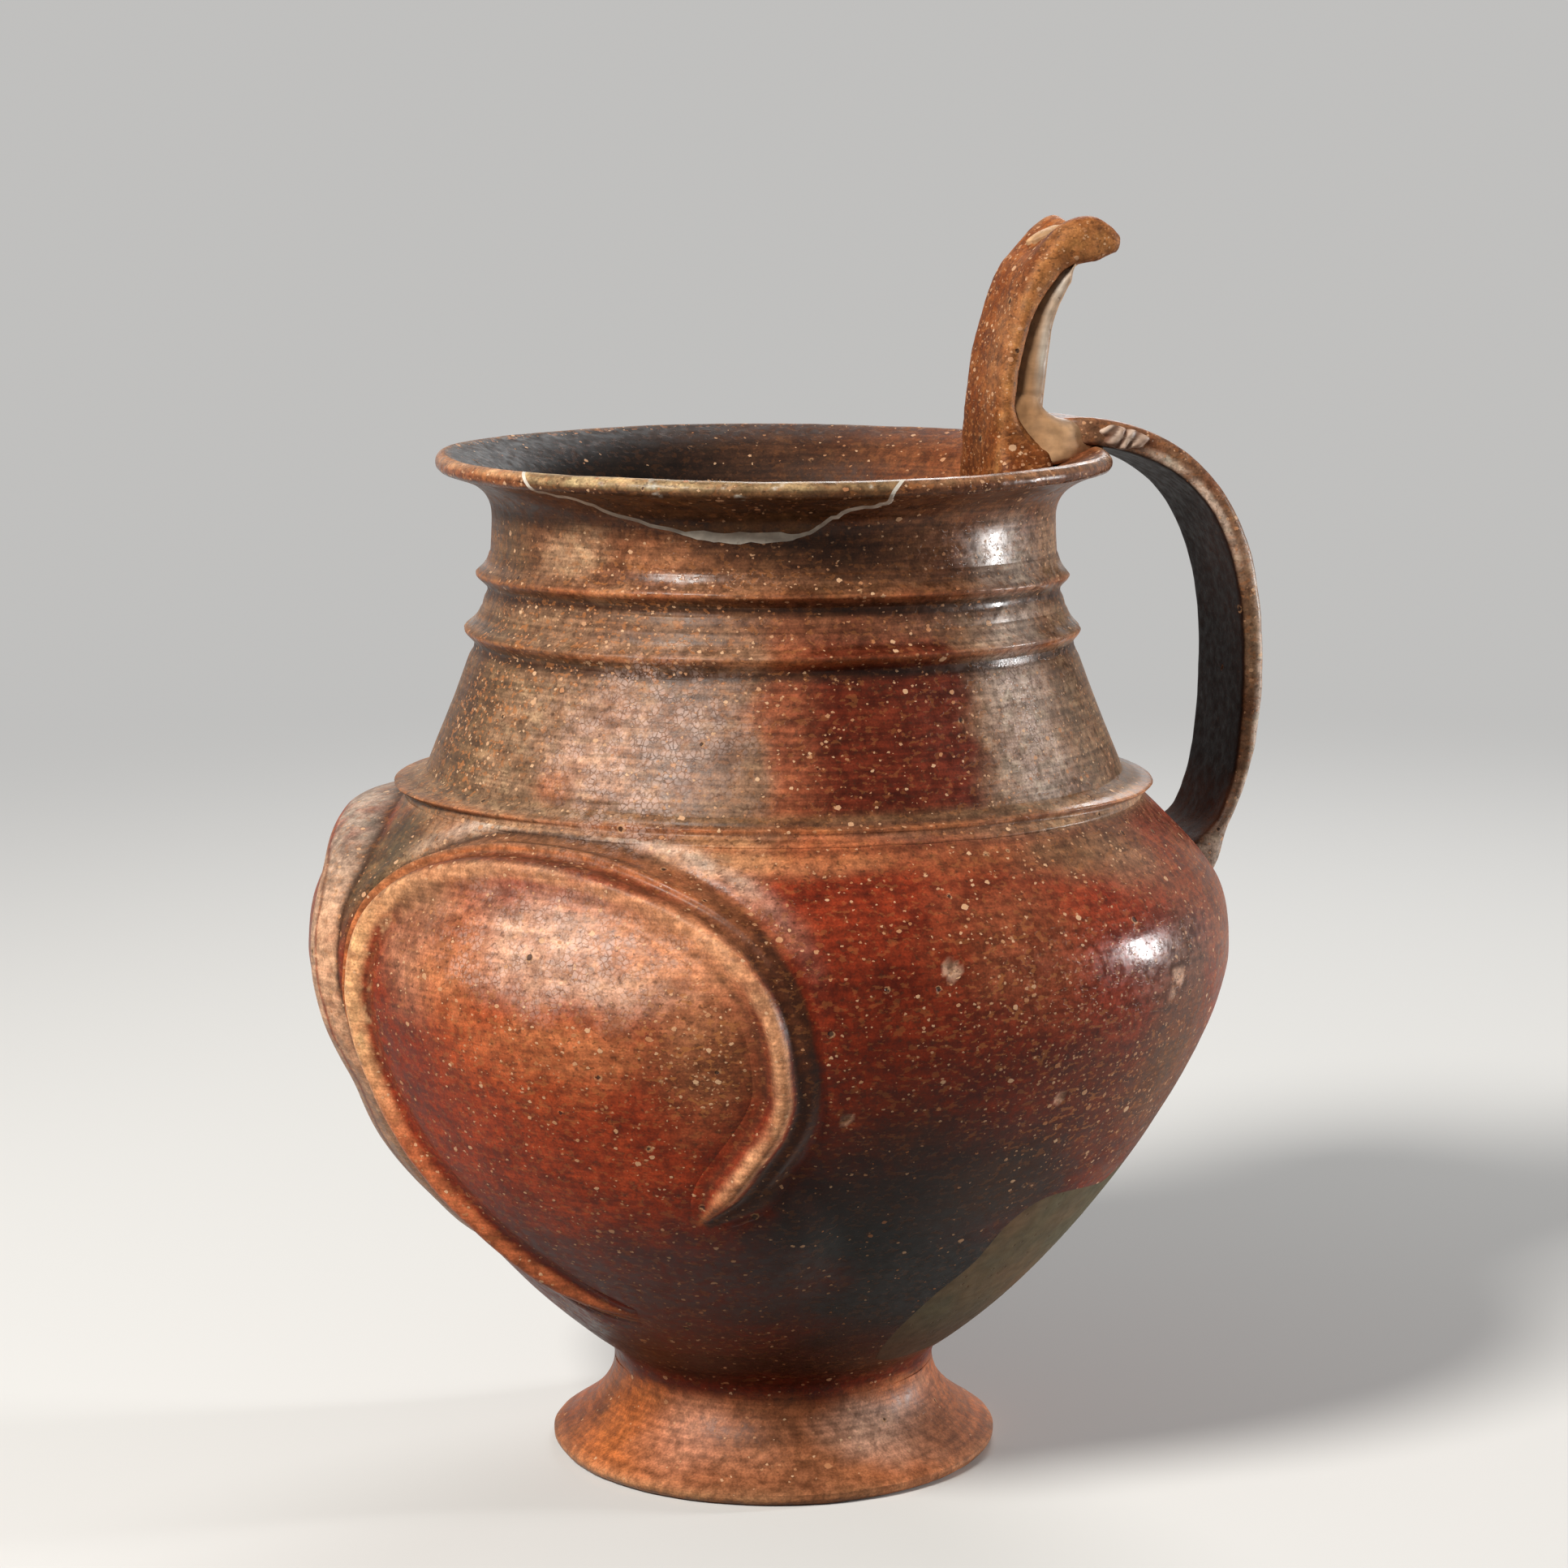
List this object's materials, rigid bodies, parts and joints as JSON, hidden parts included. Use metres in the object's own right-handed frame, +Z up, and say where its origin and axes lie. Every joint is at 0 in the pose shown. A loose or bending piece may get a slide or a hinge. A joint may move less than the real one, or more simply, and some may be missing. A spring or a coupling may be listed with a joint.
{
  "type": "jug",
  "caption": "Hand-built pottery jug with a flared foot, two arched bosses on the belly, a ribbed neck, a strap handle and a horn that rises inside the mouth.",
  "frame": {"origin": "on the ground under the middle of the jug's outline, handle and bosses included; the vessel's own axis stands 4 mm toward -X", "axes": "+Z up, +X toward the strap handle, so the handle's plane is XZ; the bosses are on the -X side"},
  "size_m": [0.2348, 0.218, 0.2955],
  "materials": {
    "belly_clay": "burnished red earthenware with dark fire clouds",
    "neck_clay": "burnished grey-brown earthenware",
    "rib_clay": "burnished brown earthenware, worn pale on the crest",
    "foot_clay": "burnished orange-brown earthenware",
    "sherd_clay": "burnished olive-brown earthenware",
    "handle_clay": "burnished dark brown earthenware",
    "horn_clay": "burnished warm brown earthenware",
    "pale_fill": "tinted pale plaster",
    "grey_fill": "matte grey-green plaster",
    "white_fill": "matte white plaster"
  },
  "bodies": {
    "root": {"foot_ring": "foot_clay", "base_disc": "belly_clay", "belly_lower": "belly_clay", "belly_upper": "belly_clay", "belly_fill": "grey_fill", "boss_rib_left": "rib_clay", "boss_rib_right": "rib_clay", "shoulder_cordon": "neck_clay", "neck_wall": "neck_clay", "neck_cordon_lower": "neck_clay", "neck_cordon_upper": "neck_clay", "rim_lip": "neck_clay", "rim_sherd": "sherd_clay", "sherd_seam": "white_fill", "handle_strap": "handle_clay", "handle_horn": "horn_clay", "fork_fill": "pale_fill", "horn_tip_fill": "pale_fill", "strap_mend": "white_fill"}
  },
  "joints": []
}
